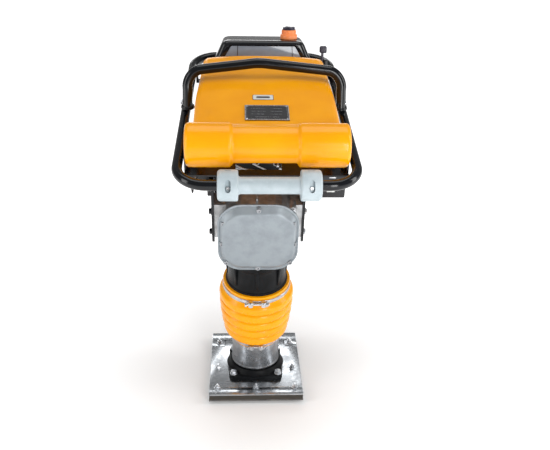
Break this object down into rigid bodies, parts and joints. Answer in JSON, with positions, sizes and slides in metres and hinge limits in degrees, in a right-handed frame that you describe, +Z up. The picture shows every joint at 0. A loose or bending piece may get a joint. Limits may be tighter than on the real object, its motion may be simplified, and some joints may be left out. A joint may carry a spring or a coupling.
{
  "type": "vibratory tamping rammer",
  "caption": "Upright tamping rammer: flat shoe, leaning sprung leg with bellows, crank drive, engine, looped handle with roller, moulded hood and fuel tank.",
  "frame": {"origin": "centre of the flat underside of the shoe", "axes": "+Z up, -Y towards the front of the machine (crankcase cover and transport roller), +X to the right seen from the front"},
  "size_m": [0.479, 0.7281, 1.0553],
  "materials": {
    "yellow_paint": "glossy moulded plastic",
    "yellow_rubber": "smooth glossy elastomer",
    "black_paint": "gloss powder coat",
    "black_casting": "painted rough casting",
    "cover_aluminium": "satin silver paint",
    "cast_aluminium": "blasted casting",
    "bright_steel": "zinc plated or bare plate",
    "dark_steel": "oiled dark steel",
    "laminated_wood": "dark laminated beech",
    "grey_plastic": "light grey moulded plastic",
    "black_plastic": "black moulded plastic",
    "slate_plastic": "dark slate plastic",
    "orange_plastic": "salmon orange plastic",
    "black_rubber": "matt black rubber"
  },
  "bodies": {
    "foot": {"shoe_sole_plate": "dark_steel", "shoe_core": "laminated_wood", "shoe_deck_plate": "bright_steel", "foot_flange": "black_casting", "flange_bolt_1": "bright_steel", "flange_bolt_2": "bright_steel", "flange_bolt_3": "bright_steel", "flange_bolt_4": "bright_steel", "leg_cylinder": "cast_aluminium", "leg_end_cap": "dark_steel", "lower_spring": "dark_steel", "upper_spring": "dark_steel", "bellows": "yellow_rubber", "lower_bellows_clamp": "bright_steel"},
    "power_unit": {"guide_cylinder": "black_casting", "upper_bellows_clamp": "bright_steel", "crankcase": "cast_aluminium", "cover_gasket": "black_rubber", "crankcase_cover": "cover_aluminium", "clutch_housing": "cast_aluminium", "engine_block": "cast_aluminium", "cylinder_head": "cast_aluminium", "spark_plug_cap": "black_rubber", "fan_shroud": "black_plastic", "recoil_cover": "black_plastic", "muffler": "dark_steel", "carburettor": "cast_aluminium", "air_cleaner": "black_plastic", "left_bracket": "black_paint", "right_bracket": "black_paint", "left_rubber_mount_1": "black_rubber", "left_rubber_mount_2": "black_rubber", "right_rubber_mount_1": "black_rubber", "right_rubber_mount_2": "black_rubber"},
    "crank": {"crank_gear": "dark_steel", "crank_pin": "bright_steel"},
    "connecting_rod": {"connecting_rod": "cast_aluminium"},
    "piston": {"piston_rod": "bright_steel", "spring_piston": "dark_steel"},
    "clutch_drum": {"clutch_drum": "dark_steel"},
    "engine_shaft": {"engine_crankshaft": "bright_steel", "clutch_hub": "bright_steel", "flywheel_fan": "cast_aluminium"},
    "recoil_grip": {"recoil_grip": "black_plastic"},
    "choke_lever": {"choke_lever": "slate_plastic"},
    "engine_switch": {"engine_switch": "slate_plastic"},
    "handle": {"handle_frame": "black_paint", "handle_cross_plate": "black_paint", "lifting_hoop": "black_paint", "hood": "yellow_paint", "nameplate": "black_plastic", "fuel_tank": "black_plastic", "tank_bracket": "black_paint", "throttle_bracket": "black_plastic", "throttle_cable": "black_rubber"},
    "roller": {"roller_left": "grey_plastic", "roller_right": "grey_plastic"},
    "fuel_cap": {"fuel_cap": "orange_plastic"},
    "throttle_lever": {"throttle_lever": "slate_plastic"}
  },
  "joints": [
    {"name": "ram_slide", "type": "slide", "parent": "foot", "child": "power_unit", "axis": [0, -0.2079, 0.9781], "range_m": [-0.035, 0.035], "stiffness_N_per_m": 25000, "springref_m": 0.02, "deforming": ["bellows", "lower_spring", "upper_spring"]},
    {"name": "crank_spin", "type": "hinge", "parent": "power_unit", "child": "crank", "pos_m": [0, -0.1223, 0.58091], "axis": [0, 0.9781, 0.2079], "continuous": true},
    {"name": "connecting_rod_swing", "type": "hinge", "parent": "crank", "child": "connecting_rod", "pos_m": [0, -0.12646, 0.60047], "axis": [0, 0.9781, 0.2079], "continuous": true},
    {"name": "clutch_drum_spin", "type": "hinge", "parent": "power_unit", "child": "clutch_drum", "pos_m": [0, -0.05204, 0.68325], "axis": [0, 0.9781, 0.2079], "continuous": true},
    {"name": "engine_spin", "type": "hinge", "parent": "power_unit", "child": "engine_shaft", "pos_m": [0, 0.05556, 0.70612], "axis": [0, 0.9781, 0.2079], "continuous": true},
    {"name": "piston_slide", "type": "slide", "parent": "power_unit", "child": "piston", "axis": [0, -0.2079, 0.9781], "range_m": [-0.04, 0]},
    {"name": "recoil_pull", "type": "slide", "parent": "power_unit", "child": "recoil_grip", "axis": [0, 0.9781, 0.2079], "range_m": [0, 0.4], "stiffness_N_per_m": 10, "springref_m": -0.3},
    {"name": "choke_turn", "type": "hinge", "parent": "power_unit", "child": "choke_lever", "pos_m": [-0.044, -0.0372, 0.78659], "axis": [0, 0.9781, 0.2079], "range_deg": [-60, 0]},
    {"name": "switch_rock", "type": "hinge", "parent": "power_unit", "child": "engine_switch", "pos_m": [-0.09, 0.11862, 0.72975], "axis": [0, -0.2079, 0.9781], "range_deg": [-6, 6]},
    {"name": "handle_rock", "type": "hinge", "parent": "power_unit", "child": "handle", "pos_m": [0, -0.16763, 0.74609], "axis": [1, 0, 0], "range_deg": [-1.5, 1.5], "stiffness_Nm_per_rad": 9000, "deforming": ["left_rubber_mount_1", "left_rubber_mount_2", "right_rubber_mount_1", "right_rubber_mount_2"]},
    {"name": "roller_spin", "type": "hinge", "parent": "handle", "child": "roller", "pos_m": [0.0235, -0.31216, 0.75269], "axis": [1, 0, 0], "continuous": true},
    {"name": "cap_turn", "type": "hinge", "parent": "handle", "child": "fuel_cap", "pos_m": [0.099, 0.252, 1.02], "axis": [0, 0, 1], "range_deg": [0, 90]},
    {"name": "throttle_turn", "type": "hinge", "parent": "handle", "child": "throttle_lever", "pos_m": [0.205, 0.265, 0.945], "axis": [1, 0, 0], "range_deg": [-35, 35]}
  ],
  "couplings": [
    {"joint": "connecting_rod_swing", "follows": "crank_spin", "ratio": -1},
    {"joint": "clutch_drum_spin", "follows": "crank_spin", "ratio": -5.4545}
  ]
}
